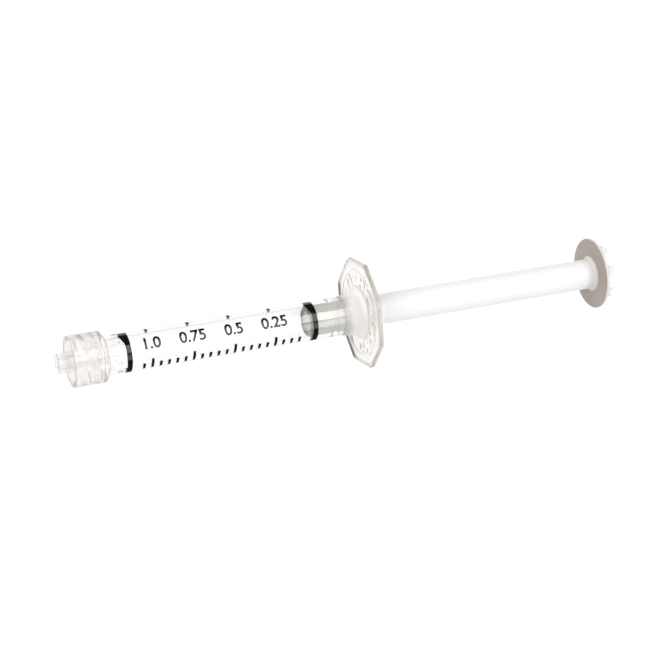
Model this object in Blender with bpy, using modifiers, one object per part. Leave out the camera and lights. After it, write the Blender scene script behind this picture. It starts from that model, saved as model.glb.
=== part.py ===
"""Luer-lock delivery syringe, lying along X with the tip towards -X and one flat of the flange down."""

import math

import bmesh
import bpy
from mathutils import Matrix

MM = 0.001

# Driving dimensions in mm. S_... is a distance along the axis from the tip's end, R_... a radius.
LENGTH = 117.7
FLANGE_APOTHEM = 10.6
FLANGE_CORNER = 0.5
SEGMENTS = 48

R_TIP_END = 1.975
TIP_TAPER = 0.03
R_TIP_BORE = 1.0
S_COLLAR_FRONT = 2.5
S_COLLAR_SHOULDER = 8.95
S_COLLAR_REAR = 9.5
S_COLLAR_FLOOR = 8.5
R_COLLAR = 5.1
R_COLLAR_BORE = 4.15
R_THREAD_CREST = 3.5
THREAD_LEAD = 5.0
S_THREAD_START = 3.3
THREAD_TURNS = 0.72
THREAD_STEPS = 40
S_SPIGOT_END = 12.9
R_SPIGOT = 3.13

R_TUBE = 3.8
R_TUBE_BORE = 3.175
S_TUBE_FRONT = 9.55
S_TUBE_REAR = 62.9
S_PIP = 11.7
PIP_SIZE = (0.85, 0.35, 0.16)
PIP_COUNT = 8
S_BEAD = 56.3
BEAD_HALF_WIDTH = 0.42
R_BEAD = 4.15

S_FLANGE_FRONT = 62.4
S_FLANGE_REAR = 63.45
FLANGE_RIM = 0.6
FLANGE_RECESS = 0.12
R_FLANGE_BORE = 3.84
R_FLANGE_LIP = 3.3
S_NECK_FRONT = 58.4
R_RELIEF = 7.1
RELIEF_COUNT = 20
RELIEF_SIZE = (0.25, 0.7, 1.7)

R_STOPPER = 3.1
S_STOPPER_FRONT = 50.9
S_STOPPER_REAR = 60.4
R_STEM = 1.9
S_STEM_END = 66.0

R_ROD = 3.1
R_ROD_BORE = 2.15
S_ROD_FRONT = 60.6
S_ROD_BORE_END = 112.4
R_DISC = 7.35
S_DISC_FRONT = 115.1
S_DISC_REAR = 115.8
DISC_FILLET = 1.0
R_NUB = 1.15
R_NUB_RING = 5.95
NUB_COUNT = 8
NUB_TURN = math.radians(15)

# The axis runs along world X at this height; an object's local Z lies along world X.
AXIS_HEIGHT = FLANGE_APOTHEM
TO_WORLD = Matrix.Translation((-LENGTH / 2 * MM, 0, AXIS_HEIGHT * MM)) @ Matrix.Rotation(
    math.pi / 2, 4, "Y"
)


def clear_scene():
    for obj in list(bpy.data.objects):
        bpy.data.objects.remove(obj, do_unlink=True)
    for group in list(bpy.data.collections):
        bpy.data.collections.remove(group)


def new_collection(name):
    group = bpy.data.collections.new(name)
    bpy.context.scene.collection.children.link(group)
    return group


def plastic(name, colour, roughness):
    material = bpy.data.materials.new(name)
    material.use_nodes = True
    shader = material.node_tree.nodes["Principled BSDF"]
    shader.inputs["Base Color"].default_value = (*colour, 1.0)
    shader.inputs["Roughness"].default_value = roughness
    shader.inputs["Metallic"].default_value = 0.0
    material.diffuse_color = (*colour, 1.0)
    return material


def new_object(name, mesh, group, material=None):
    obj = bpy.data.objects.new(name, mesh)
    group.objects.link(obj)
    obj.matrix_world = TO_WORLD
    if material:
        mesh.materials.append(material)
    return obj


def smooth(mesh, angle=35):
    for face in mesh.polygons:
        face.use_smooth = True
    mesh.set_sharp_from_angle(angle=math.radians(angle))


def lathe(name, profile, group, material=None, steps=SEGMENTS):
    """A body of revolution from (s, r) points in mm that run down the outer side from the largest s."""
    points = [(r * MM, 0, s * MM) for s, r in profile]
    on_axis = profile[0][1] == 0 and profile[-1][1] == 0
    edges = [(i, i + 1) for i in range(len(points) - 1)]
    if not on_axis:
        edges.append((len(points) - 1, 0))
    mesh = bpy.data.meshes.new(name)
    mesh.from_pydata(points, edges, [])
    obj = new_object(name, mesh, group)
    screw = obj.modifiers.new("Turn", "SCREW")
    screw.axis = "Z"
    screw.steps = screw.render_steps = steps
    screw.use_merge_vertices = True
    screw.merge_threshold = 1e-6
    screw.use_smooth_shade = True
    bake(obj)
    smooth(obj.data)
    if material:
        obj.data.materials.append(material)
    return obj


def bake(obj):
    """The object's mesh with its modifiers applied."""
    graph = bpy.context.evaluated_depsgraph_get()
    mesh = bpy.data.meshes.new_from_object(obj.evaluated_get(graph))
    mesh.name = obj.name
    obj.modifiers.clear()
    old, obj.data = obj.data, mesh
    bpy.data.meshes.remove(old)


def reshape(obj, steps):
    mesh = bmesh.new()
    mesh.from_mesh(obj.data)
    steps(mesh)
    mesh.to_mesh(obj.data)
    mesh.free()


def prism(name, apothem, corner, s_low, s_high, group, material=None):
    """An octagonal plate with one flat down and rounded corners."""
    mesh = bpy.data.meshes.new(name)
    obj = new_object(name, mesh, group, material)

    def build(shape):
        radius = apothem / math.cos(math.pi / 8) * MM
        place = Matrix.Translation((0, 0, (s_low + s_high) / 2 * MM)) @ Matrix.Rotation(
            math.pi / 8, 4, "Z"
        )
        bmesh.ops.create_cone(
            shape, cap_ends=True, segments=8, radius1=radius, radius2=radius,
            depth=(s_high - s_low) * MM, matrix=place,
        )
        upright = [
            e for e in shape.edges
            if abs(e.verts[0].co.z - e.verts[1].co.z) > (s_high - s_low) * MM / 2
        ]
        bmesh.ops.bevel(
            shape, geom=upright, offset=corner * MM, segments=4, profile=0.5, affect="EDGES"
        )

    reshape(obj, build)
    return obj


def helper(obj):
    obj.hide_render = True
    obj.display_type = "WIRE"
    return obj


def boolean(obj, other, operation):
    modifier = obj.modifiers.new(other.name, "BOOLEAN")
    modifier.operation = operation
    modifier.solver = "EXACT"
    modifier.object = other


def blocks(name, count, ring_radius, s_middle, size, group, turn=0.0, bevel=0.0):
    """Small blocks set round the axis in one mesh; size is along the axis, round it and outwards."""
    along, around, outward = (value * MM for value in size)
    obj = new_object(name, bpy.data.meshes.new(name), group)

    def build(shape):
        for i in range(count):
            place = (
                Matrix.Rotation(2 * math.pi * i / count + turn, 4, "Z")
                @ Matrix.Translation((ring_radius * MM, 0, s_middle * MM))
                @ Matrix.Diagonal((outward, around, along, 1))
            )
            bmesh.ops.create_cube(shape, size=1, matrix=place)
        if bevel:
            bmesh.ops.bevel(
                shape, geom=shape.edges[:], offset=bevel * MM, segments=1, affect="EDGES"
            )

    reshape(obj, build)
    return obj


def thread_ridge(name, start_angle, group):
    """One start of the collar's internal thread, closed at both ends."""
    root, crest = R_COLLAR_BORE + 0.3, R_THREAD_CREST
    profile = [(root, 0.75), (root, -0.75), (crest, -0.2), (crest, 0.2)]
    mesh = bpy.data.meshes.new(name)
    mesh.from_pydata(
        [(r * MM, 0, (S_THREAD_START + s) * MM) for r, s in profile],
        [(0, 1), (1, 2), (2, 3), (3, 0)], [],
    )
    obj = new_object(name, mesh, group)
    screw = obj.modifiers.new("Lead", "SCREW")
    screw.axis = "Z"
    screw.angle = 2 * math.pi * THREAD_TURNS
    screw.screw_offset = THREAD_LEAD * THREAD_TURNS * MM
    screw.steps = screw.render_steps = THREAD_STEPS
    screw.use_merge_vertices = False
    bake(obj)

    def close(shape):
        bmesh.ops.rotate(
            shape, verts=shape.verts[:], cent=(0, 0, 0), matrix=Matrix.Rotation(start_angle, 3, "Z")
        )
        bmesh.ops.holes_fill(shape, edges=shape.edges[:], sides=0)
        bmesh.ops.recalc_face_normals(shape, faces=shape.faces[:])

    reshape(obj, close)
    return helper(obj)


def make_hub(group, cutters, material):
    taper = TIP_TAPER * S_COLLAR_FLOOR
    hub = lathe("luer_lock_hub", [
        (S_SPIGOT_END, 2.45), (S_SPIGOT_END, R_SPIGOT - 0.2), (S_SPIGOT_END - 0.2, R_SPIGOT),
        (S_COLLAR_REAR, R_SPIGOT), (S_COLLAR_REAR, R_TUBE + 0.05), (S_COLLAR_SHOULDER, R_COLLAR),
        (S_COLLAR_FRONT + 0.15, R_COLLAR), (S_COLLAR_FRONT, R_COLLAR - 0.15),
        (S_COLLAR_FRONT, R_COLLAR_BORE + 0.15), (S_COLLAR_FRONT + 0.15, R_COLLAR_BORE),
        (S_COLLAR_FLOOR, R_COLLAR_BORE), (S_COLLAR_FLOOR, R_TIP_END + taper),
        (0.2, R_TIP_END + 0.006), (0.0, R_TIP_END - 0.2), (0.0, R_TIP_BORE + 0.1),
        (0.1, R_TIP_BORE), (S_COLLAR_REAR - 0.6, R_TIP_BORE),
    ], group, material)
    for i in range(2):
        boolean(hub, thread_ridge(f"thread_start_{i + 1}", math.pi * i, cutters), "UNION")
    return hub


def make_tube(group, cutters, material):
    swell = R_BEAD - R_TUBE
    bead = [
        (S_BEAD - BEAD_HALF_WIDTH * math.cos(a), R_TUBE + swell * math.sin(a))
        for a in (math.pi, 5 * math.pi / 6, 2 * math.pi / 3, math.pi / 2, math.pi / 3, math.pi / 6, 0)
    ]
    tube = lathe("barrel_tube", [
        (S_TUBE_REAR, R_TUBE_BORE + 0.1), (S_TUBE_REAR, R_TUBE - 0.1), (S_TUBE_REAR - 0.1, R_TUBE),
        *bead, (S_TUBE_FRONT + 0.1, R_TUBE), (S_TUBE_FRONT, R_TUBE - 0.1),
        (S_TUBE_FRONT, R_TUBE_BORE + 0.1), (S_TUBE_FRONT + 0.1, R_TUBE_BORE),
        (S_TUBE_REAR - 0.1, R_TUBE_BORE),
    ], group, material)
    pips = blocks("pip_recesses", PIP_COUNT, R_TUBE, S_PIP, PIP_SIZE, cutters)
    boolean(tube, helper(pips), "DIFFERENCE")
    return tube


def make_flange(group, cutters, material):
    flange = prism(
        "finger_flange", FLANGE_APOTHEM, FLANGE_CORNER, S_FLANGE_FRONT, S_FLANGE_REAR, group, material
    )
    inner = FLANGE_APOTHEM - FLANGE_RIM
    front_floor, rear_floor = S_FLANGE_FRONT + FLANGE_RECESS, S_FLANGE_REAR - FLANGE_RECESS
    front = prism("front_recess", inner, 0.6, S_FLANGE_FRONT - 1, front_floor, cutters)
    rear = prism("rear_recess", inner, 0.6, rear_floor, S_FLANGE_REAR + 1, cutters)
    neck_root = front_floor + 0.2
    neck = lathe("neck", [
        (neck_root, 0), (neck_root, 5.2), (front_floor - 0.05, 5.1), (62.0, 4.72), (61.2, 4.42),
        (60.0, 4.24), (S_NECK_FRONT + 0.1, 4.16), (S_NECK_FRONT, 4.06), (S_NECK_FRONT, 0),
    ], cutters)
    relief = blocks(
        "relief", RELIEF_COUNT, R_RELIEF, front_floor, RELIEF_SIZE, cutters,
        turn=math.pi / RELIEF_COUNT,
    )
    bore = lathe("tube_seat", [
        (S_TUBE_REAR + 0.05, 0), (S_TUBE_REAR + 0.05, R_FLANGE_BORE),
        (S_NECK_FRONT - 1, R_FLANGE_BORE), (S_NECK_FRONT - 1, 0),
    ], cutters)
    lip = lathe("rod_guide", [
        (S_FLANGE_REAR + 1, 0), (S_FLANGE_REAR + 1, R_FLANGE_LIP),
        (S_NECK_FRONT - 1, R_FLANGE_LIP), (S_NECK_FRONT - 1, 0),
    ], cutters)
    for other, operation in (
        (front, "DIFFERENCE"), (rear, "DIFFERENCE"), (neck, "UNION"), (relief, "UNION"),
        (bore, "DIFFERENCE"), (lip, "DIFFERENCE"),
    ):
        boolean(flange, helper(other), operation)
    return flange


def make_stopper(group, material):
    return lathe("stopper", [
        (S_STEM_END, 0), (S_STEM_END, R_STEM - 0.35), (S_STEM_END - 0.5, R_STEM + 0.15),
        (S_STEM_END - 1.0, R_STEM + 0.15), (S_STEM_END - 1.4, R_STEM), (S_STOPPER_REAR, R_STEM),
        (S_STOPPER_REAR, R_STOPPER - 0.15), (S_STOPPER_REAR - 0.15, R_STOPPER),
        (S_STOPPER_FRONT + 0.25, R_STOPPER), (S_STOPPER_FRONT, R_STOPPER - 0.25),
        (S_STOPPER_FRONT, 2.5), (S_STOPPER_FRONT + 0.25, 2.2), (S_STOPPER_FRONT + 0.3, 0),
    ], group, material)


def make_rod(group, cutters, material):
    bend = [
        (S_DISC_FRONT - DISC_FILLET * (1 - math.sin(a)), R_ROD + DISC_FILLET * (1 - math.cos(a)))
        for a in (math.pi / 2, math.pi / 3, math.pi / 6, 0)
    ]
    rod = lathe("plunger_rod", [
        (S_DISC_REAR, 0), (S_DISC_REAR, R_DISC - 0.25), (S_DISC_REAR - 0.08, R_DISC - 0.08),
        (S_DISC_REAR - 0.25, R_DISC), (S_DISC_FRONT + 0.25, R_DISC),
        (S_DISC_FRONT + 0.08, R_DISC - 0.08), (S_DISC_FRONT, R_DISC - 0.25), *bend,
        (S_ROD_FRONT + 0.25, R_ROD), (S_ROD_FRONT, R_ROD - 0.25), (S_ROD_FRONT, R_ROD_BORE + 0.15),
        (S_ROD_FRONT + 0.15, R_ROD_BORE), (S_ROD_BORE_END, R_ROD_BORE),
        (S_ROD_BORE_END + 1.2, 0),
    ], group, material)
    nub = [(S_DISC_REAR - 0.3, R_NUB), (S_DISC_REAR - 0.3, 0)]
    dome = [
        (LENGTH - R_NUB * (1 - math.cos(a)), R_NUB * math.sin(a))
        for a in (0, math.pi / 8, math.pi / 4, 3 * math.pi / 8, math.pi / 2)
    ]
    for i in range(NUB_COUNT):
        pad = lathe(f"nub_{i + 1}", dome + nub, cutters, steps=12)
        turn = 2 * math.pi * i / NUB_COUNT - NUB_TURN
        shift = Matrix.Translation(
            (R_NUB_RING * MM * math.cos(turn), R_NUB_RING * MM * math.sin(turn), 0)
        )
        reshape(pad, lambda shape, m=shift: bmesh.ops.transform(shape, matrix=m, verts=shape.verts[:]))
        boolean(rod, helper(pad), "UNION")
    return rod


def main():
    clear_scene()
    parts = new_collection("luer_lock_syringe")
    cutters = new_collection("luer_lock_syringe_cutters")
    clear = plastic("clear_plastic", (0.93, 0.95, 0.95), 0.05)
    milky = plastic("milky_plastic", (0.86, 0.83, 0.82), 0.3)
    flange = plastic("flange_plastic", (0.87, 0.84, 0.82), 0.3)
    grey = plastic("grey_plastic", (0.55, 0.56, 0.52), 0.25)
    white = plastic("white_plastic", (0.9, 0.9, 0.89), 0.35)
    make_hub(parts, cutters, milky)
    make_tube(parts, cutters, clear)
    make_flange(parts, cutters, flange)
    make_stopper(parts, grey)
    make_rod(parts, cutters, white)
    for obj in parts.objects:
        if obj.modifiers:
            bake(obj)
            smooth(obj.data)


main()
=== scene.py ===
"""The looks of the luer-lock delivery syringe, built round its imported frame."""

import math

import bmesh
import bpy
from mathutils import Matrix, Vector, noise


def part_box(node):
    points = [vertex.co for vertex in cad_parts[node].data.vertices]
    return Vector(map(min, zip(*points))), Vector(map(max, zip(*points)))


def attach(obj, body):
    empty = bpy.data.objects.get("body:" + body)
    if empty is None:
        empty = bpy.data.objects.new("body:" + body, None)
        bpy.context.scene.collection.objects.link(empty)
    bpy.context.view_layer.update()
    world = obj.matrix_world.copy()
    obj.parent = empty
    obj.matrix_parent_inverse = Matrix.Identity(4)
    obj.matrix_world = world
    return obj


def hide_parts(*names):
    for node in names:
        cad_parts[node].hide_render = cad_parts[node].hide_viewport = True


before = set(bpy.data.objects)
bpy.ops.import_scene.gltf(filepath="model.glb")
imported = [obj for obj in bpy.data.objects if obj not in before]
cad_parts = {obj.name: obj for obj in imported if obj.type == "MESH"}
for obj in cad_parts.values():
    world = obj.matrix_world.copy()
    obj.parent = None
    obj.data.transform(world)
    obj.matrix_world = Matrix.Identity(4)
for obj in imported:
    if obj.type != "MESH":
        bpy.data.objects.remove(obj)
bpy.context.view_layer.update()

MM = 0.001

# Places are in mm: s runs along the syringe's axis from the tip's end, r is the distance from the axis.
# An angle round the axis is in degrees: 0 faces -Y and 90 faces up.
HUB_LOW, HUB_HIGH = (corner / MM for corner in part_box("luer_lock_hub"))
TUBE_LOW, TUBE_HIGH = (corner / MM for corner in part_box("barrel_tube"))
FLANGE_LOW, FLANGE_HIGH = (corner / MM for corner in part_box("finger_flange"))
STOPPER_LOW, STOPPER_HIGH = (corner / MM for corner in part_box("stopper"))
ROD_LOW, ROD_HIGH = (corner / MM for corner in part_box("plunger_rod"))
TIP_X = HUB_LOW.x
AXIS_Z = (TUBE_LOW.z + TUBE_HIGH.z) / 2
R_TUBE, R_TUBE_BORE = 3.86, 3.175


def s_of(x):
    """Distance along the axis from the tip's end, in mm, of a world x in mm."""
    return x - TIP_X


def place(s, r, angle):
    """The world point, in metres, at s along the axis, r off it and angle degrees round it."""
    turn = math.radians(angle)
    return Vector(
        ((TIP_X + s) * MM, -r * math.cos(turn) * MM, (AXIS_Z + r * math.sin(turn)) * MM)
    )


def smooth_step(low, high, value):
    """0 up to low, 1 from high on, and a smooth rise between them."""
    t = min(1.0, max(0.0, (value - low) / (high - low)))
    return t * t * (3 - 2 * t)


def between(low, high, count):
    """count + 1 evenly spaced values from low to high."""
    return [low + (high - low) * k / count for k in range(count + 1)]


# ---------------------------------------------------------------- meshes

FLAT = 0.0  # the radius of a corner that is left sharp
ARC_STEPS, MOST_OF_EDGE, SUPPORT = 6, 0.42, 0.18
ROUND_STEPS, THREAD_STEPS, FINE_STEPS = 192, 256, 720
SHARP_ANGLE = 35.0


def rounded(corners):
    """An open (s, r) outline through (s, r, radius) corners, each rounded with support points beside it."""
    points = [Vector(corners[0][:2])]
    for before, (s, r, radius), after in zip(corners, corners[1:-1], corners[2:]):
        here = Vector((s, r))
        back, ahead = Vector(before[:2]) - here, Vector(after[:2]) - here
        reach = min(radius, back.length * MOST_OF_EDGE, ahead.length * MOST_OF_EDGE)
        if reach == 0:
            points.append(here)
            continue
        start, end = here + back.normalized() * reach, here + ahead.normalized() * reach
        points.append(start + back.normalized() * reach * SUPPORT)
        for t in between(0, 1, ARC_STEPS):
            points.append(start.lerp(here, t).lerp(here.lerp(end, t), t))
        points.append(end + ahead.normalized() * reach * SUPPORT)
    points.append(Vector(corners[-1][:2]))
    return [(p.x, p.y) for p in points]


def shade(mesh):
    """Shades the mesh smooth, with a crease along its sharp edges."""
    mesh.shade_smooth()
    mesh.set_sharp_from_angle(angle=math.radians(SHARP_ANGLE))


def mesh_object(name, mesh, material):
    """Closes the mesh's seams, turns its faces out, shades it and makes its object."""
    work = bmesh.new()
    work.from_mesh(mesh)
    bmesh.ops.remove_doubles(work, verts=work.verts[:], dist=1e-7)
    bmesh.ops.recalc_face_normals(work, faces=work.faces[:])
    if work.calc_volume(signed=True) < 0:
        bmesh.ops.reverse_faces(work, faces=work.faces[:])
    work.to_mesh(mesh)
    work.free()
    shade(mesh)
    mesh.materials.append(material)
    obj = bpy.data.objects.new(name, mesh)
    bpy.context.scene.collection.objects.link(obj)
    return obj


def turned(name, outline, material, steps=ROUND_STEPS, shape=None):
    """A closed body from an (s, r) outline turned round the axis. shape(s, r, angle) may move its points.

    The outline starts and ends on the axis, or else it is a loop whose ends meet."""
    rows = []
    for s, r in outline:
        angles = [360 * k / steps for k in range(steps)]
        rows.append([place(*(shape(s, r, a) if shape else (s, r)), a) for a in angles])
    is_loop = outline[0][1] > 0.001
    faces = []
    for i in range(len(rows) if is_loop else len(rows) - 1):
        j = (i + 1) % len(rows)
        for k in range(steps):
            n = (k + 1) % steps
            faces.append((i * steps + k, i * steps + n, j * steps + n, j * steps + k))
    mesh = bpy.data.meshes.new(name)
    mesh.from_pydata([point for row in rows for point in row], [], faces)
    return mesh_object(name, mesh, material)


def join_with(obj, others):
    """Unites the others with obj, and removes them."""
    for other in others:
        modifier = obj.modifiers.new(other.name, "BOOLEAN")
        modifier.operation = "UNION"
        modifier.object = other
    bpy.context.view_layer.update()
    graph = bpy.context.evaluated_depsgraph_get()
    mesh = bpy.data.meshes.new_from_object(obj.evaluated_get(graph))
    obj.modifiers.clear()
    obj.data = mesh
    shade(mesh)
    for other in others:
        bpy.data.objects.remove(other)


# ---------------------------------------------------------------- materials

# The noises' scales are per metre: a drift over about 4 mm, and a grain of about a quarter of one.
DRIFT_SCALE, DRIFT_DETAIL, DRIFT_LOW, DRIFT_HIGH = 260.0, 3.0, 0.3, 0.7
GLOSS_DRIFT = 0.15
GRAIN_SCALE, GRAIN_DETAIL, GRAIN_DEPTH = 4000.0, 2.0, 0.00002


def map_range(tree, value, start, end, low, high, interpolation="LINEAR"):
    """A value that runs from low to high while another runs from start to end."""
    node = tree.nodes.new("ShaderNodeMapRange")
    node.interpolation_type = interpolation
    node.inputs["From Min"].default_value, node.inputs["From Max"].default_value = start, end
    node.inputs["To Min"].default_value, node.inputs["To Max"].default_value = low, high
    tree.links.new(value, node.inputs["Value"])
    return node.outputs["Result"]


def position(tree):
    return tree.nodes["Texture Coordinate"].outputs["Object"]


def step_along(tree, s_low, s_high, low=0.0, high=1.0):
    """A value that runs from low to high between two places along the axis."""
    split = tree.nodes.new("ShaderNodeSeparateXYZ")
    tree.links.new(position(tree), split.inputs["Vector"])
    start, end = (TIP_X + s_low) * MM, (TIP_X + s_high) * MM
    return map_range(tree, split.outputs["X"], start, end, low, high, "SMOOTHSTEP")


def step_outwards(tree, r_low, r_high, low=0.0, high=1.0):
    """A value that runs from low to high between two distances from the axis."""
    across = tree.nodes.new("ShaderNodeVectorMath")
    across.operation = "MULTIPLY_ADD"
    across.inputs[1].default_value, across.inputs[2].default_value = (0, 1, 1), (0, 0, -AXIS_Z * MM)
    tree.links.new(position(tree), across.inputs[0])
    length = tree.nodes.new("ShaderNodeVectorMath")
    length.operation = "LENGTH"
    tree.links.new(across.outputs["Vector"], length.inputs[0])
    return map_range(tree, length.outputs["Value"], r_low * MM, r_high * MM, low, high, "SMOOTHSTEP")


def times(tree, first, second):
    node = tree.nodes.new("ShaderNodeMath")
    node.operation = "MULTIPLY"
    tree.links.new(first, node.inputs[0])
    tree.links.new(second, node.inputs[1])
    return node.outputs["Value"]


def drive(tree, socket_name, value):
    """Feeds one of the shader's sockets with something that varies over the surface."""
    tree.links.new(value, tree.nodes["Principled BSDF"].inputs[socket_name])


def tint(tree, share, colour):
    """Multiplies the shader's base colour by another where share is 1."""
    node = tree.nodes.new("ShaderNodeMix")
    node.data_type, node.blend_type = "RGBA", "MULTIPLY"
    plain = tree.nodes["Principled BSDF"].inputs["Base Color"].links[0].from_socket
    tree.links.new(share, node.inputs[0])
    tree.links.new(plain, node.inputs[6])
    node.inputs[7].default_value = (*colour, 1)
    drive(tree, "Base Color", node.outputs[2])


def plastic(name, colour, roughness, transmission=0.0, ior=1.49, drift=0.03, grain=0.0):
    """Moulded plastic: a slow drift of colour and gloss, and a fine grain from the mould's surface."""
    material = bpy.data.materials.new(name)
    material.use_nodes = True
    tree = material.node_tree
    shader = tree.nodes["Principled BSDF"]
    shader.inputs["Transmission Weight"].default_value = transmission
    shader.inputs["IOR"].default_value = ior
    tree.nodes.new("ShaderNodeTexCoord")

    slow = tree.nodes.new("ShaderNodeTexNoise")
    slow.inputs["Scale"].default_value, slow.inputs["Detail"].default_value = DRIFT_SCALE, DRIFT_DETAIL
    tree.links.new(position(tree), slow.inputs["Vector"])
    ramp = tree.nodes.new("ShaderNodeValToRGB")
    deepest, palest = ramp.color_ramp.elements
    deepest.position, palest.position = DRIFT_LOW, DRIFT_HIGH
    deepest.color, palest.color = (*(c * (1 - drift) for c in colour), 1), (*colour, 1)
    tree.links.new(slow.outputs["Fac"], ramp.inputs["Fac"])
    drive(tree, "Base Color", ramp.outputs["Color"])
    glossiest, dullest = roughness * (1 - GLOSS_DRIFT), roughness * (1 + GLOSS_DRIFT)
    drive(tree, "Roughness", map_range(tree, slow.outputs["Fac"], 0, 1, glossiest, dullest))

    if grain:
        fine = tree.nodes.new("ShaderNodeTexNoise")
        fine.inputs["Scale"].default_value, fine.inputs["Detail"].default_value = GRAIN_SCALE, GRAIN_DETAIL
        tree.links.new(position(tree), fine.inputs["Vector"])
        bump = tree.nodes.new("ShaderNodeBump")
        bump.inputs["Strength"].default_value = grain
        bump.inputs["Distance"].default_value = GRAIN_DEPTH
        tree.links.new(fine.outputs["Fac"], bump.inputs["Height"])
        drive(tree, "Normal", bump.outputs["Normal"])
    return material


# ---------------------------------------------------------------- the hub: tip, threaded collar and spigot

R_TIP_END, TIP_TAPER, R_TIP_BORE = 1.975, 0.03, 1.0
S_COLLAR_FRONT, S_COLLAR_FLOOR, S_COLLAR_SHOULDER, S_COLLAR_REAR = 2.5, 8.5, 8.95, 9.5
R_COLLAR = (HUB_HIGH.z - HUB_LOW.z) / 2
R_COLLAR_BORE, R_THREAD_CREST = 4.15, 3.87
THREAD_LEAD, THREAD_STARTS, THREAD_TURN = 5.0, 2, 0.476
S_THREAD_START, S_THREAD_END, THREAD_RUN_OUT = 3.0, 8.2, 0.7
FLANK_FROM, FLANK_TO, CREST_TO, GROOVE_FROM = 0.0, 0.82, 0.86, 0.98  # as shares of the pitch
S_SPIGOT_END, R_SPIGOT, R_SPIGOT_BORE = s_of(HUB_HIGH.x), 3.13, 2.45
MOUTH_TINT = (0.78, 0.76, 0.74)
HUB_CLEARNESS, WALL_CLEARNESS = 0.78, 0.97


def milky_hub():
    """Milky, clearer on the collar's inner wall and a little deeper round its mouth."""
    material = plastic(
        "milky_hub_plastic", (0.965, 0.941, 0.925), roughness=0.15, transmission=HUB_CLEARNESS,
        ior=1.46, drift=0.02, grain=0.12,
    )
    tree = material.node_tree
    at_front = step_along(tree, S_COLLAR_FRONT + 0.12, S_COLLAR_FRONT + 0.32, 1.0, 0.0)
    off_gap = step_outwards(tree, R_COLLAR_BORE - 0.55, R_COLLAR_BORE - 0.25)
    tint(tree, times(tree, at_front, off_gap), MOUTH_TINT)
    off_tip = step_outwards(tree, R_COLLAR_BORE - 0.95, R_COLLAR_BORE - 0.65)
    within_wall = step_outwards(tree, R_COLLAR_BORE + 0.15, R_COLLAR_BORE + 0.65, 1.0, 0.0)
    inner_wall = times(tree, off_tip, within_wall)
    drive(tree, "Transmission Weight", map_range(tree, inner_wall, 0, 1, HUB_CLEARNESS, WALL_CLEARNESS))
    return material


def clear_spigot():
    """All but invisible inside the tube, as in the photo."""
    return plastic(
        "clear_spigot_plastic", (0.985, 0.975, 0.965), roughness=0.03, transmission=1.0,
        ior=1.06, drift=0.005,
    )


def thread_height(s, angle):
    """How far the collar's right-handed internal thread stands off its wall."""
    pitch = THREAD_LEAD / THREAD_STARTS
    share = (s - S_THREAD_START + THREAD_LEAD * (angle / 360 + THREAD_TURN)) % pitch / pitch
    flank = smooth_step(FLANK_FROM, FLANK_TO, share) * (1 - smooth_step(CREST_TO, GROOVE_FROM, share))
    ends = smooth_step(S_THREAD_START, S_THREAD_START + THREAD_RUN_OUT, s)
    ends *= 1 - smooth_step(S_THREAD_END - THREAD_RUN_OUT, S_THREAD_END, s)
    return (R_COLLAR_BORE - R_THREAD_CREST) * flank * ends


def make_hub():
    root = R_TIP_END + TIP_TAPER * S_COLLAR_FLOOR
    outside = rounded([
        (S_SPIGOT_END, R_SPIGOT_BORE, FLAT), (S_SPIGOT_END, R_SPIGOT, 0.2),
        (S_COLLAR_REAR, R_SPIGOT, 0.05), (S_COLLAR_REAR, R_TUBE + 0.05, 0.1),
        (S_COLLAR_SHOULDER, R_COLLAR, 0.25), (S_COLLAR_FRONT, R_COLLAR, 0.15),
        (S_COLLAR_FRONT, R_COLLAR_BORE, 0.15), (S_COLLAR_FRONT + 0.4, R_COLLAR_BORE, FLAT),
    ])
    wall = [(s, R_COLLAR_BORE) for s in between(S_COLLAR_FRONT + 0.45, S_COLLAR_FLOOR - 0.25, 100)]
    inside = rounded([
        (S_COLLAR_FLOOR - 0.2, R_COLLAR_BORE, FLAT), (S_COLLAR_FLOOR, R_COLLAR_BORE - 0.2, 0.15),
        (S_COLLAR_FLOOR, root, 0.3), (0.0, R_TIP_END, 0.22), (0.0, R_TIP_BORE, 0.1),
        (S_COLLAR_REAR - 0.6, R_TIP_BORE, 0.3), (S_SPIGOT_END, R_SPIGOT_BORE, FLAT),
    ])[:-1]

    def shape(s, r, angle):
        return (s, r - thread_height(s, angle)) if r == R_COLLAR_BORE else (s, r)

    outline = outside + wall + inside
    hub = turned("syringe_lock_hub", outline, milky_hub(), steps=THREAD_STEPS, shape=shape)
    hub.data.materials.append(clear_spigot())
    for face in hub.data.polygons:
        if s_of(face.center.x / MM) > S_COLLAR_REAR + 0.02:
            face.material_index = 1
    return hub


# ---------------------------------------------------------------- the clear tube

S_BEAD, BEAD_HALF_WIDTH, BEAD_HALF_TOP, R_BEAD = 56.3, 0.5, 0.2, 3.945
S_DASH, DASH_COUNT, DASH_LENGTH, DASH_WIDTH, DASH_DEPTH, DASH_EDGE = 11.7, 8, 1.0, 0.5, 0.09, 0.05
HAZE_LENGTH, HAZE_CLEARNESS = 2.6, 0.78
SLANT_FROM, SLANT_TO, SLANT_PAINTED_SHADE = 0.55, 0.95, (0.5, 0.5, 0.49)


def clear_tube():
    """Clear, with painted shade deepening it where the wall is seen edge on, and hazy where the flange is
    moulded round it.
    """
    colour = (0.965, 0.972, 0.968)
    material = plastic("clear_tube_plastic", colour, roughness=0.01, transmission=1.0, drift=0.005)
    tree = material.node_tree
    haze = step_along(tree, S_BEAD - BEAD_HALF_TOP, S_BEAD + HAZE_LENGTH, 1.0, HAZE_CLEARNESS)
    drive(tree, "Transmission Weight", haze)
    # painted shade: the wall darkens towards its outlines, where it is seen edge on
    slant = tree.nodes.new("ShaderNodeLayerWeight")
    slant.inputs["Blend"].default_value = 0.5
    tint(tree, map_range(tree, slant.outputs["Facing"], SLANT_FROM, SLANT_TO, 0, 1), SLANT_PAINTED_SHADE)
    return material


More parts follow.
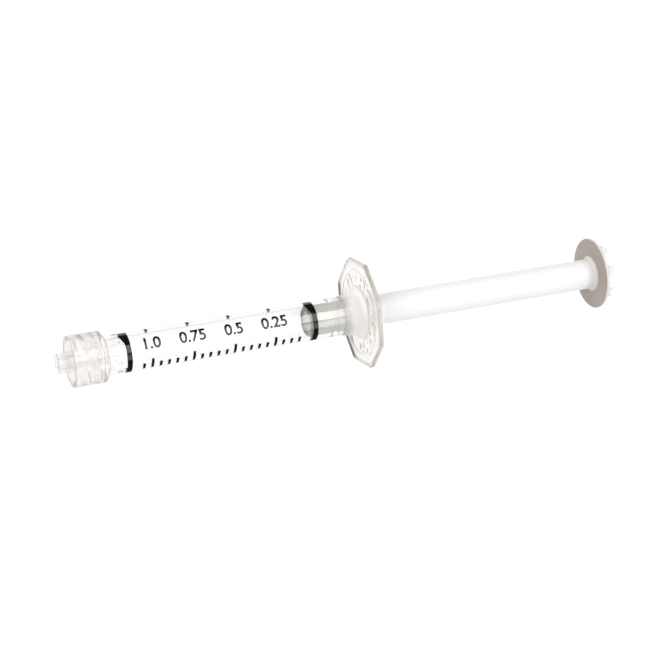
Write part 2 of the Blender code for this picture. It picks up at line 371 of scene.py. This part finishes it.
def dash_depth(s, angle):
    """Depth of the shallow dashes pressed into the tube in a ring behind the collar."""
    pitch = 360 / DASH_COUNT
    off = math.radians((angle + pitch / 2) % pitch - pitch / 2) * R_TUBE
    along = 1 - smooth_step(DASH_LENGTH / 2 - DASH_EDGE, DASH_LENGTH / 2 + DASH_EDGE, abs(s - S_DASH))
    across = 1 - smooth_step(DASH_WIDTH / 2 - DASH_EDGE, DASH_WIDTH / 2 + DASH_EDGE, abs(off))
    return DASH_DEPTH * along * across


def make_tube():
    front, rear = s_of(TUBE_LOW.x), s_of(TUBE_HIGH.x)
    reach = DASH_LENGTH / 2 + 2 * DASH_EDGE
    inner = rounded([
        (front + 3, R_TUBE_BORE, FLAT), (rear, R_TUBE_BORE, 0.1), (rear, R_TUBE, 0.1),
        (S_BEAD + BEAD_HALF_WIDTH, R_TUBE, 0.2), (S_BEAD + BEAD_HALF_TOP, R_BEAD, 0.2),
        (S_BEAD - BEAD_HALF_TOP, R_BEAD, 0.2), (S_BEAD - BEAD_HALF_WIDTH, R_TUBE, 0.2),
        (S_DASH + 1, R_TUBE, FLAT),
    ])
    dashes = [(s, R_TUBE) for s in between(S_DASH + reach, S_DASH - reach, 30)]
    outer = rounded([
        (S_DASH - 1, R_TUBE, FLAT), (front, R_TUBE, 0.1),
        (front, R_TUBE_BORE, 0.1), (front + 2, R_TUBE_BORE, FLAT),
    ])

    def shape(s, r, angle):
        among_dashes = abs(s - S_DASH) < reach + 0.01 and r >= R_TUBE
        return s, r - (dash_depth(s, angle) if among_dashes else 0)

    return turned("syringe_clear_tube", inner + dashes + outer, clear_tube(), steps=FINE_STEPS, shape=shape)


# ---------------------------------------------------------------- the print on the tube

INK_THICK, INK_LIFT, INK_STEP, RUNG_ANGLE = 0.015, 0.004, 0.12, 2
INK_COLOUR = (0.006, 0.005, 0.005)
S_FRONT_BAND, S_REAR_BAND, BAND_WIDTH = 13.5, 51.8, 1.05
BAND_FROM, BAND_SPLIT, BAND_TO = -48.0, 36.0, 151.0  # the bands are dull below the split
FLARE, FLARE_FROM, FLARE_FULL, FLARE_FADES, FLARE_TO = 0.75, 78, 118, 128, 152
TICK_PITCH, TICK_COUNT, TICK_HALF, TICK_FROM, TICK_TO = 8.43, 4, 0.2, 122, 157
S_TICKS = [S_FRONT_BAND + 4.6 + TICK_PITCH * k for k in range(TICK_COUNT)]
NUMERALS = ("1.0", "0.75", "0.5", "0.25")
NUMERAL_ANGLE, NUMERAL_SIZE, NUMERAL_BOLD = 60.0, 3.2, 0.085
RULER_STEPS, RULER_FROM, RULER_SHORT, RULER_LONG, RULER_HALF = 5, -9.0, 1.7, 2.6, 0.28


def wrap(flat, name):
    """Wraps a flat mesh, x along the tube and y round it, both in mm, onto it as a thin skin of ink."""
    work = bmesh.new()
    work.from_mesh(flat)
    bmesh.ops.remove_doubles(work, verts=work.verts[:], dist=1e-4)
    low, high = min(v.co.y for v in work.verts), max(v.co.y for v in work.verts)
    for k in range(int(low / INK_STEP) - 1, int(high / INK_STEP) + 2):
        whole = work.verts[:] + work.edges[:] + work.faces[:]
        bmesh.ops.bisect_plane(work, geom=whole, plane_co=(0, k * INK_STEP, 0), plane_no=(0, 1, 0))
    bmesh.ops.triangulate(work, faces=work.faces[:])
    bottom = R_TUBE + INK_LIFT
    for vert in work.verts:
        vert.co = place(vert.co.x, bottom, math.degrees(vert.co.y / R_TUBE))
    bmesh.ops.recalc_face_normals(work, faces=work.faces[:])
    skin = work.faces[:]
    top = bmesh.ops.extrude_face_region(work, geom=skin, use_keep_orig=True)["geom"]
    centre = Vector((0, 0, AXIS_Z * MM))
    for vert in (part for part in top if isinstance(part, bmesh.types.BMVert)):
        out = vert.co - centre
        out.x = 0
        vert.co += out.normalized() * INK_THICK * MM
    mesh = bpy.data.meshes.new(name)
    work.to_mesh(mesh)
    work.free()
    return mesh


def flat_strip(s_low, s_high, angle_low, angle_high, widen=None):
    """A flat rectangle in mm; widen(angle) moves its front edge forwards."""
    work = bmesh.new()
    rungs = []
    for angle in between(angle_low, angle_high, max(2, int((angle_high - angle_low) / RUNG_ANGLE))):
        y = math.radians(angle) * R_TUBE
        front = s_low - (widen(angle) if widen else 0)
        rungs.append([work.verts.new((front, y, 0)), work.verts.new((s_high, y, 0))])
    for (a, b), (c, d) in zip(rungs, rungs[1:]):
        work.faces.new((a, b, d, c))
    mesh = bpy.data.meshes.new("strip")
    work.to_mesh(mesh)
    work.free()
    return mesh


def flat_numeral(text, s_middle):
    """A volume figure as a flat mesh in mm, with its foot at the numerals' angle."""
    curve = bpy.data.curves.new("numeral", "FONT")
    curve.body, curve.size, curve.align_x = text, NUMERAL_SIZE, "CENTER"
    curve.resolution_u, curve.offset = 6, NUMERAL_BOLD
    obj = bpy.data.objects.new("numeral", curve)
    bpy.context.scene.collection.objects.link(obj)
    bpy.context.view_layer.update()
    mesh = bpy.data.meshes.new_from_object(obj.evaluated_get(bpy.context.evaluated_depsgraph_get()))
    mesh.transform(Matrix.Translation((s_middle, math.radians(NUMERAL_ANGLE) * R_TUBE, 0)))
    bpy.data.objects.remove(obj)
    return mesh


def flare(angle):
    """A band's print swells towards the tip between its middle and its top."""
    swollen = smooth_step(FLARE_FROM, FLARE_FULL, angle)
    return FLARE * swollen * (1 - smooth_step(FLARE_FADES, FLARE_TO, angle))


def band(s_middle, angle_low, angle_high):
    return flat_strip(s_middle - BAND_WIDTH / 2, s_middle + BAND_WIDTH / 2, angle_low, angle_high, flare)


def ruler():
    """Marks at even steps along the tube, with a longer one below each tick."""
    foot = math.radians(RULER_FROM) * R_TUBE
    marks = []
    for k in range(-1, RULER_STEPS * TICK_COUNT - 1):
        s = S_TICKS[0] + TICK_PITCH * k / RULER_STEPS
        height = RULER_LONG if k % RULER_STEPS == 0 else RULER_SHORT
        top = math.degrees((foot + height) / R_TUBE)
        marks.append(flat_strip(s - RULER_HALF, s + RULER_HALF, RULER_FROM, top))
    return marks


def ink_piece(name, flats, ink):
    """One object of ink from several flat outlines."""
    work = bmesh.new()
    for flat in flats:
        work.from_mesh(wrap(flat, name))
    mesh = bpy.data.meshes.new(name)
    work.to_mesh(mesh)
    work.free()
    return mesh_object(name, mesh, ink)


def make_print():
    """Glossy ink, and dull ink where a glossy one would turn grey by mirroring the floor or a lamp."""
    ink = plastic("black_print_ink", INK_COLOUR, roughness=0.13, ior=1.42, drift=0.3, grain=0.2)
    dull_ink = plastic("dull_print_ink", INK_COLOUR, roughness=0.5, ior=1.1, drift=0.3, grain=0.2)
    ticks = [flat_strip(s - TICK_HALF, s + TICK_HALF, TICK_FROM, TICK_TO) for s in S_TICKS]
    return [
        ink_piece("print_front_band", [band(S_FRONT_BAND, BAND_SPLIT, BAND_TO)], ink),
        ink_piece("print_front_band_low", [band(S_FRONT_BAND, BAND_FROM, BAND_SPLIT)], dull_ink),
        ink_piece("print_rear_band", [band(S_REAR_BAND, BAND_SPLIT, BAND_TO)], ink),
        ink_piece("print_rear_band_low", [band(S_REAR_BAND, BAND_FROM, BAND_SPLIT)], dull_ink),
        ink_piece("print_ticks", ticks, dull_ink),
        ink_piece("print_numerals", [flat_numeral(text, s) for text, s in zip(NUMERALS, S_TICKS)], ink),
        ink_piece("print_ruler", ruler(), dull_ink),
    ]


# ---------------------------------------------------------------- the flange

APOTHEM = (FLANGE_HIGH.z - FLANGE_LOW.z) / 2
S_NECK_FRONT, S_FLANGE_FRONT, S_FLANGE_REAR = s_of(FLANGE_LOW.x), 62.4, s_of(FLANGE_HIGH.x)
RIM_WIDTH, RECESS, R_SEAT, R_LIP = 0.6, 0.12, 3.9, 3.3
R_NECK_FRONT, R_NECK_FOOT, R_MARKS_END = 3.99, 5.35, 8.9
R_ROUND_FRONT, R_ROUND_BACK, R_OCTAGONAL = 8.7, 7.0, 9.2  # round up to here, octagonal from here on
CORNER_POWER = 100
DARK_EDGES = (203.0, 292.0)
R_RELIEF, RELIEF_HALF_TOP, RELIEF_HALF_FOOT, RELIEF_HEIGHT = 7.1, 1.05, 1.35, 0.13
BLOTCH_SCALE, BLOTCH_SLICE, BLOTCH_FROM, BLOTCH_FULL = 0.75, 3.7, -0.05, 0.4
R_RINGS, RING_HALF_TOP, RING_HALF_FOOT, RING_HEIGHT = (5.5, 8.75), 0.06, 0.22, 0.5
FLANGE_CLEARNESS, NECK_CLEARNESS = 0.8, 0.2
RIM_TINT = (0.9, 0.885, 0.87)


def hazy_flange():
    """Hazy, most of all in the neck behind the tube's seat, and a little deeper along the rim."""
    material = plastic("hazy_flange_plastic", (0.96, 0.933, 0.905), roughness=0.14, drift=0.02, grain=0.12)
    tree = material.node_tree
    behind_front = step_along(tree, S_NECK_FRONT - 0.2, S_NECK_FRONT + 2.2)
    near_axis = step_outwards(tree, R_NECK_FOOT - 0.45, R_NECK_FOOT + 0.25, 1.0, 0.0)
    neck = times(tree, behind_front, near_axis)
    drive(tree, "Transmission Weight", map_range(tree, neck, 0, 1, FLANGE_CLEARNESS, NECK_CLEARNESS))
    tint(tree, step_outwards(tree, APOTHEM - 0.5, APOTHEM - 0.2), RIM_TINT)
    return material


def painted_shade_edge():
    """Painted shade: a near-black finish on the flange's lower far sides, where they stand dark."""
    return plastic("flange_painted_shade", (0.03, 0.03, 0.029), roughness=0.4, ior=1.3, grain=0.12)


def octagon(apothem, angle):
    """Radius of an octagon with one flat down and softened corners."""
    total = 0.0
    for k in range(8):
        total += max(0.0, math.cos(math.radians(angle - 45 * k))) ** CORNER_POWER
    return apothem / total ** (1 / CORNER_POWER)


def relief(r, angle):
    """Height of the moulded marks: soft irregular blotches between two fine rings."""
    turn = math.radians(angle)
    spot = Vector((r * math.cos(turn), r * math.sin(turn), BLOTCH_SLICE)) * BLOTCH_SCALE
    within = 1 - smooth_step(RELIEF_HALF_TOP, RELIEF_HALF_FOOT, abs(r - R_RELIEF))
    blotch = smooth_step(BLOTCH_FROM, BLOTCH_FULL, noise.noise(spot)) * within
    off_ring = min(abs(r - r_ring) for r_ring in R_RINGS)
    ring = RING_HEIGHT * (1 - smooth_step(RING_HALF_TOP, RING_HALF_FOOT, off_ring))
    return RELIEF_HEIGHT * max(blotch, ring)


def make_flange():
    """Rows of (s, radius or apothem, how octagonal) run from the seat's front round the outside and back."""
    floor, back = S_FLANGE_FRONT + RECESS, S_FLANGE_REAR - RECESS
    seat_end, rim_inside = s_of(TUBE_HIGH.x) + 0.05, APOTHEM - RIM_WIDTH
    neck = rounded([
        (S_NECK_FRONT + 0.5, R_SEAT, FLAT), (S_NECK_FRONT, R_SEAT, 0.03),
        (S_NECK_FRONT, R_NECK_FRONT, 0.06), (60.2, 4.2, 0.8), (61.6, 4.5, 0.8),
        (floor, 5.15, 0.5), (floor, R_NECK_FOOT, FLAT),
    ])
    rows = [(s, r, 0.0) for s, r in neck]
    front_radii = between(R_NECK_FOOT + 0.05, rim_inside - 0.05, 80)
    rows += [(floor, r, smooth_step(R_ROUND_FRONT, R_OCTAGONAL, r)) for r in front_radii]
    rim = rounded([
        (floor, rim_inside - 0.02, FLAT), (floor, rim_inside + 0.02, 0.04),
        (S_FLANGE_FRONT, rim_inside + 0.12, 0.07), (S_FLANGE_FRONT, APOTHEM, 0.14),
        (S_FLANGE_REAR, APOTHEM, 0.14), (S_FLANGE_REAR, rim_inside + 0.12, 0.07),
        (back, rim_inside + 0.02, 0.04), (back, rim_inside - 0.02, FLAT),
    ])
    rows += [(s, r, 1.0) for s, r in rim]
    back_radii = between(rim_inside - 0.1, 4.2, 12)
    rows += [(back, r, smooth_step(R_ROUND_BACK, R_OCTAGONAL, r)) for r in back_radii]
    inside = rounded([
        (back, 4.1, FLAT), (back, R_LIP, 0.1), (seat_end, R_LIP, 0.1), (seat_end, R_SEAT, 0.1),
        (S_NECK_FRONT + 1, R_SEAT, FLAT),
    ])
    rows += [(s, r, 0.0) for s, r in inside]
    share = {(s, r): octagonal for s, r, octagonal in rows}

    def shape(s, r, angle):
        octagonal = share[(s, r)]
        radius = r * (1 - octagonal) + (octagon(r, angle) if octagonal else 0) * octagonal
        on_front = s == floor and R_NECK_FOOT < r < R_MARKS_END
        return s - (relief(radius, angle) if on_front else 0), radius

    outline = [(s, r) for s, r, _ in rows]
    flange = turned("syringe_finger_flange", outline, hazy_flange(), steps=FINE_STEPS, shape=shape)
    flange.data.materials.append(painted_shade_edge())
    # painted shade: faces along the flange's lower far sides take the near-black finish
    for face in flange.data.polygons:
        across = Vector((face.center.y, face.center.z - AXIS_Z * MM)) / MM
        turn = math.degrees(math.atan2(across.y, -across.x)) % 360
        off_side = (turn + 22.5) % 45 - 22.5
        on_side = across.length * math.cos(math.radians(off_side)) > APOTHEM - 0.35
        if on_side and DARK_EDGES[0] < turn < DARK_EDGES[1]:
            face.material_index = 1
    return flange


# ---------------------------------------------------------------- the stopper

R_STEM, SNAP_HEIGHT, S_STOPPER_REAR = 1.9, 0.15, 60.4
FACE_PAINTED_SHADE = (0.31, 0.34, 0.32)


def grey_stopper():
    """Smoky grey, with painted shade deepening the hollow front face."""
    material = plastic("grey_stopper_plastic", (0.57, 0.55, 0.5), roughness=0.12, grain=0.1)
    tree = material.node_tree
    front = s_of(STOPPER_LOW.x)
    # painted shade: the front face and its hollow are tinted dark
    tint(tree, step_along(tree, front + 0.15, front + 0.45, 1.0, 0.0), FACE_PAINTED_SHADE)
    return material


def make_stopper():
    front, end = s_of(STOPPER_LOW.x), s_of(STOPPER_HIGH.x)
    r_body = (STOPPER_HIGH.z - STOPPER_LOW.z) / 2
    return turned("syringe_stopper", rounded([
        (end, 0.0, FLAT), (end, R_STEM - 0.35, 0.1), (end - 0.5, R_STEM + SNAP_HEIGHT, 0.1),
        (end - 1.0, R_STEM + SNAP_HEIGHT, 0.1), (end - 1.4, R_STEM, 0.1), (S_STOPPER_REAR, R_STEM, 0.1),
        (S_STOPPER_REAR, r_body, 0.15), (front, r_body, 0.25), (front, 2.5, 0.15),
        (front + 0.3, 2.1, 0.15), (front + 0.3, 0.0, FLAT),
    ]), grey_stopper())


# ---------------------------------------------------------------- the rod with its thumb rest

R_ROD, R_ROD_BORE, S_ROD_BORE_END = 3.1, 2.15, 112.4
S_DISC_FRONT, S_DISC_REAR, R_DISC, DISC_FILLET = 115.1, 115.8, (ROD_HIGH.z - ROD_LOW.z) / 2, 1.0
R_NUB, R_NUB_RING, NUB_COUNT, NUB_ANGLE = 1.15, 5.95, 8, 15.0
NUB_FOOT, NUB_TAPER, NUB_SINK = 0.15, 0.12, 0.9
WEB_PAINTED_SHADE, BACK_PAINTED_SHADE, DISC_RIM_TINT = (0.425, 0.373, 0.325), (1.0, 0.98, 0.97), (0.88, 0.81, 0.8)


def white_rod():
    """White, with a warm, deep painted shade on the front of the thumb rest's web, a faint warm painted
    shade over its back and nubs, and rosier on its rim.
    """
    material = plastic("white_rod_plastic", (0.785, 0.785, 0.778), roughness=0.4, drift=0.012, grain=0.35)
    tree = material.node_tree
    tree.nodes["Principled BSDF"].inputs["Specular IOR Level"].default_value = 0.25
    # painted shade: the front of the thumb rest's web, off the rod, is tinted warm and deep
    off_rod = step_outwards(tree, R_ROD - 0.05, R_ROD + 0.85)
    at_front = step_along(tree, S_DISC_FRONT + 0.06, S_DISC_FRONT + 0.16, 1.0, 0.0)
    tint(tree, times(tree, off_rod, at_front), WEB_PAINTED_SHADE)
    # a faint painted shade over the thumb rest's back and nubs, which the lamps would wash out
    at_back = step_along(tree, S_DISC_FRONT + 0.02, S_DISC_FRONT + 0.2)
    tint(tree, at_back, BACK_PAINTED_SHADE)
    at_rim = step_outwards(tree, R_DISC - 0.4, R_DISC - 0.15)
    tint(tree, times(tree, at_back, at_rim), DISC_RIM_TINT)
    return material


def make_nub(index, material):
    """A nub on the back of the thumb rest: a ball, drawn out backwards and sunk into the disc."""
    turn = math.radians(NUB_ANGLE + 360 * index / NUB_COUNT)
    height = s_of(ROD_HIGH.x) - S_DISC_REAR - NUB_FOOT
    work = bmesh.new()
    bmesh.ops.create_uvsphere(work, u_segments=40, v_segments=24, radius=1)
    for vert in work.verts:
        x, y, z = vert.co
        out = z * (height if z > 0 else NUB_SINK)
        width = R_NUB * (1 - NUB_TAPER * max(0.0, z) ** 2)
        vert.co = (
            (TIP_X + S_DISC_REAR + NUB_FOOT + out) * MM,
            (-R_NUB_RING * math.cos(turn) + x * width) * MM,
            (AXIS_Z + R_NUB_RING * math.sin(turn) + y * width) * MM,
        )
    mesh = bpy.data.meshes.new("nub")
    work.to_mesh(mesh)
    work.free()
    return mesh_object(f"nub_{index}", mesh, material)


def make_rod():
    front, white = s_of(ROD_LOW.x), white_rod()
    rod = turned("syringe_plunger_rod", rounded([
        (S_DISC_REAR, 0.0, FLAT), (S_DISC_REAR, R_DISC, 0.25), (S_DISC_FRONT, R_DISC, 0.25),
        (S_DISC_FRONT, R_ROD, DISC_FILLET), (front, R_ROD, 0.25), (front, R_ROD_BORE, 0.15),
        (S_ROD_BORE_END, R_ROD_BORE, 0.2), (S_ROD_BORE_END + 1.2, 0.0, FLAT),
    ]), white)
    join_with(rod, [make_nub(k, white) for k in range(NUB_COUNT)])
    return rod


# ---------------------------------------------------------------- floor, light and camera

FLOOR_HALF, FLOOR_DROP = 4.0, 0.0002  # metres
FLOOR_GREY, FLOOR_ROUGHNESS, FLOOR_GLOW = 0.1, 0.9, 1.0


def make_floor():
    """A floor whose own even glow makes it white."""
    mesh = bpy.data.meshes.new("studio_floor")
    work = bmesh.new()
    bmesh.ops.create_grid(work, x_segments=1, y_segments=1, size=FLOOR_HALF)
    work.to_mesh(mesh)
    work.free()
    floor = bpy.data.objects.new("studio_floor", mesh)
    bpy.context.scene.collection.objects.link(floor)
    floor.location.z = -FLOOR_DROP
    material = bpy.data.materials.new("studio_white")
    material.use_nodes = True
    shader = material.node_tree.nodes["Principled BSDF"]
    shader.inputs["Base Color"].default_value = (FLOOR_GREY, FLOOR_GREY, FLOOR_GREY, 1)
    shader.inputs["Roughness"].default_value = FLOOR_ROUGHNESS
    shader.inputs["Specular IOR Level"].default_value = 0.0
    shader.inputs["Emission Color"].default_value = (1, 1, 1, 1)
    shader.inputs["Emission Strength"].default_value = FLOOR_GLOW
    mesh.materials.append(material)


PANEL_DISTANCE = 1.0  # metres
MIRROR_LEAN, SIDE_LEAN, BACK_LEAN, TIP_LEAN = 19.0, 52.0, -12.0, -48.0


def panel(name, lean, low, high, half_width, radiance):
    """A soft panel, seen from the object between two angles round its axis, low and high.

    lean turns it towards the thumb rest, and half_width is half the angle that it spans along the axis."""
    middle, half = math.radians((low + high) / 2), math.radians((high - low) / 2)
    lean = math.radians(lean)
    towards = Vector((
        math.sin(lean), -math.cos(lean) * math.cos(middle), math.cos(lean) * math.sin(middle)
    ))
    width, height = 2 * math.tan(math.radians(half_width)), 2 * math.tan(half)
    light = bpy.data.lights.new(name, "AREA")
    light.shape = "RECTANGLE"
    light.size, light.size_y = width * PANEL_DISTANCE, height * PANEL_DISTANCE
    light.energy = radiance * math.pi * light.size * light.size_y
    lamp = bpy.data.objects.new(name, light)
    bpy.context.scene.collection.objects.link(lamp)
    side = Vector((math.cos(lean), math.sin(lean) * math.cos(middle), -math.sin(lean) * math.sin(middle)))
    turn = Matrix((side, towards.cross(side), towards)).transposed()
    lamp.matrix_world = Matrix.Translation(towards * PANEL_DISTANCE) @ turn.to_4x4()
    lamp.visible_camera = False


def make_panels():
    panel("overhead_softbox", lean=MIRROR_LEAN, low=55, high=100, half_width=14, radiance=4.5)
    panel("front_softbox", lean=MIRROR_LEAN, low=7, high=44, half_width=14, radiance=2.5)
    panel("back_panel", lean=BACK_LEAN, low=140, high=180, half_width=15, radiance=1.8)
    panel("side_panel", lean=SIDE_LEAN, low=60, high=150, half_width=22, radiance=0.45)
    panel("low_side_panel", lean=SIDE_LEAN, low=0, high=60, half_width=20, radiance=0.55)
    panel("tip_panel", lean=TIP_LEAN, low=50, high=130, half_width=20, radiance=2.9)


DARK_ROOM, THROUGH_PLASTIC, BACKDROP = (0.05, 0.05, 0.05, 1), (0.75, 0.75, 0.75, 1), (1, 1, 1, 1)


def make_room():
    """White to the camera, a pale grey through clear plastic, and dark to all other rays."""
    world = bpy.data.worlds.new("studio_world")
    bpy.context.scene.world = world
    world.use_nodes = True
    nodes, links = world.node_tree.nodes, world.node_tree.links
    path = nodes.new("ShaderNodeLightPath")
    colour = None
    for ray, seen in (("Is Transmission Ray", THROUGH_PLASTIC), ("Is Camera Ray", BACKDROP)):
        mix = nodes.new("ShaderNodeMix")
        mix.data_type = "RGBA"
        mix.inputs[6].default_value, mix.inputs[7].default_value = DARK_ROOM, seen
        links.new(path.outputs[ray], mix.inputs[0])
        if colour:
            links.new(colour, mix.inputs[6])
        colour = mix.outputs[2]
    links.new(colour, nodes["Background"].inputs["Color"])
    bpy.context.scene.view_settings.view_transform = "Standard"


CAMERA_AZIMUTH, CAMERA_ELEVATION, CAMERA_ROLL = -35.6, 55.6, 20.86
CAMERA_DISTANCE, CAMERA_LENS, CAMERA_SENSOR = 0.406, 112.0, 36.0  # metres, mm and mm
CAMERA_AIM = Vector((-3.4, 0.0, AXIS_Z - 2.17)) * MM
CLIP_NEAR, CLIP_FAR = 0.01, 20.0  # metres


def make_camera():
    camera = bpy.data.objects.new("camera", bpy.data.cameras.new("camera"))
    bpy.context.scene.collection.objects.link(camera)
    camera.data.sensor_width, camera.data.lens = CAMERA_SENSOR, CAMERA_LENS
    camera.data.clip_start, camera.data.clip_end = CLIP_NEAR, CLIP_FAR
    a, e = math.radians(CAMERA_AZIMUTH), math.radians(CAMERA_ELEVATION)
    back = Vector((math.sin(a) * math.cos(e), -math.cos(a) * math.cos(e), math.sin(e)))
    turn = back.to_track_quat("Z", "Y").to_matrix().to_4x4()
    roll = Matrix.Rotation(math.radians(CAMERA_ROLL), 4, "Z")
    camera.matrix_world = Matrix.Translation(CAMERA_AIM + back * CAMERA_DISTANCE) @ turn @ roll
    bpy.context.scene.camera = camera


# ---------------------------------------------------------------- the whole


def dress(piece, body, slot, *nodes):
    """The piece rides on a body and stands for the CAD nodes. The slot is not used."""
    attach(piece, body)
    if nodes:
        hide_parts(*nodes)


dress(make_hub(), "barrel", "milky_plastic", "luer_lock_hub")
dress(make_tube(), "barrel", "clear_plastic", "barrel_tube")
dress(make_flange(), "barrel", "flange_plastic", "finger_flange")
for print_piece in make_print():
    dress(print_piece, "barrel", "clear_plastic")
dress(make_stopper(), "stopper", "grey_plastic", "stopper")
dress(make_rod(), "plunger", "white_plastic", "plunger_rod")
make_floor()
make_panels()
make_room()
make_camera()

bpy.context.view_layer.update()
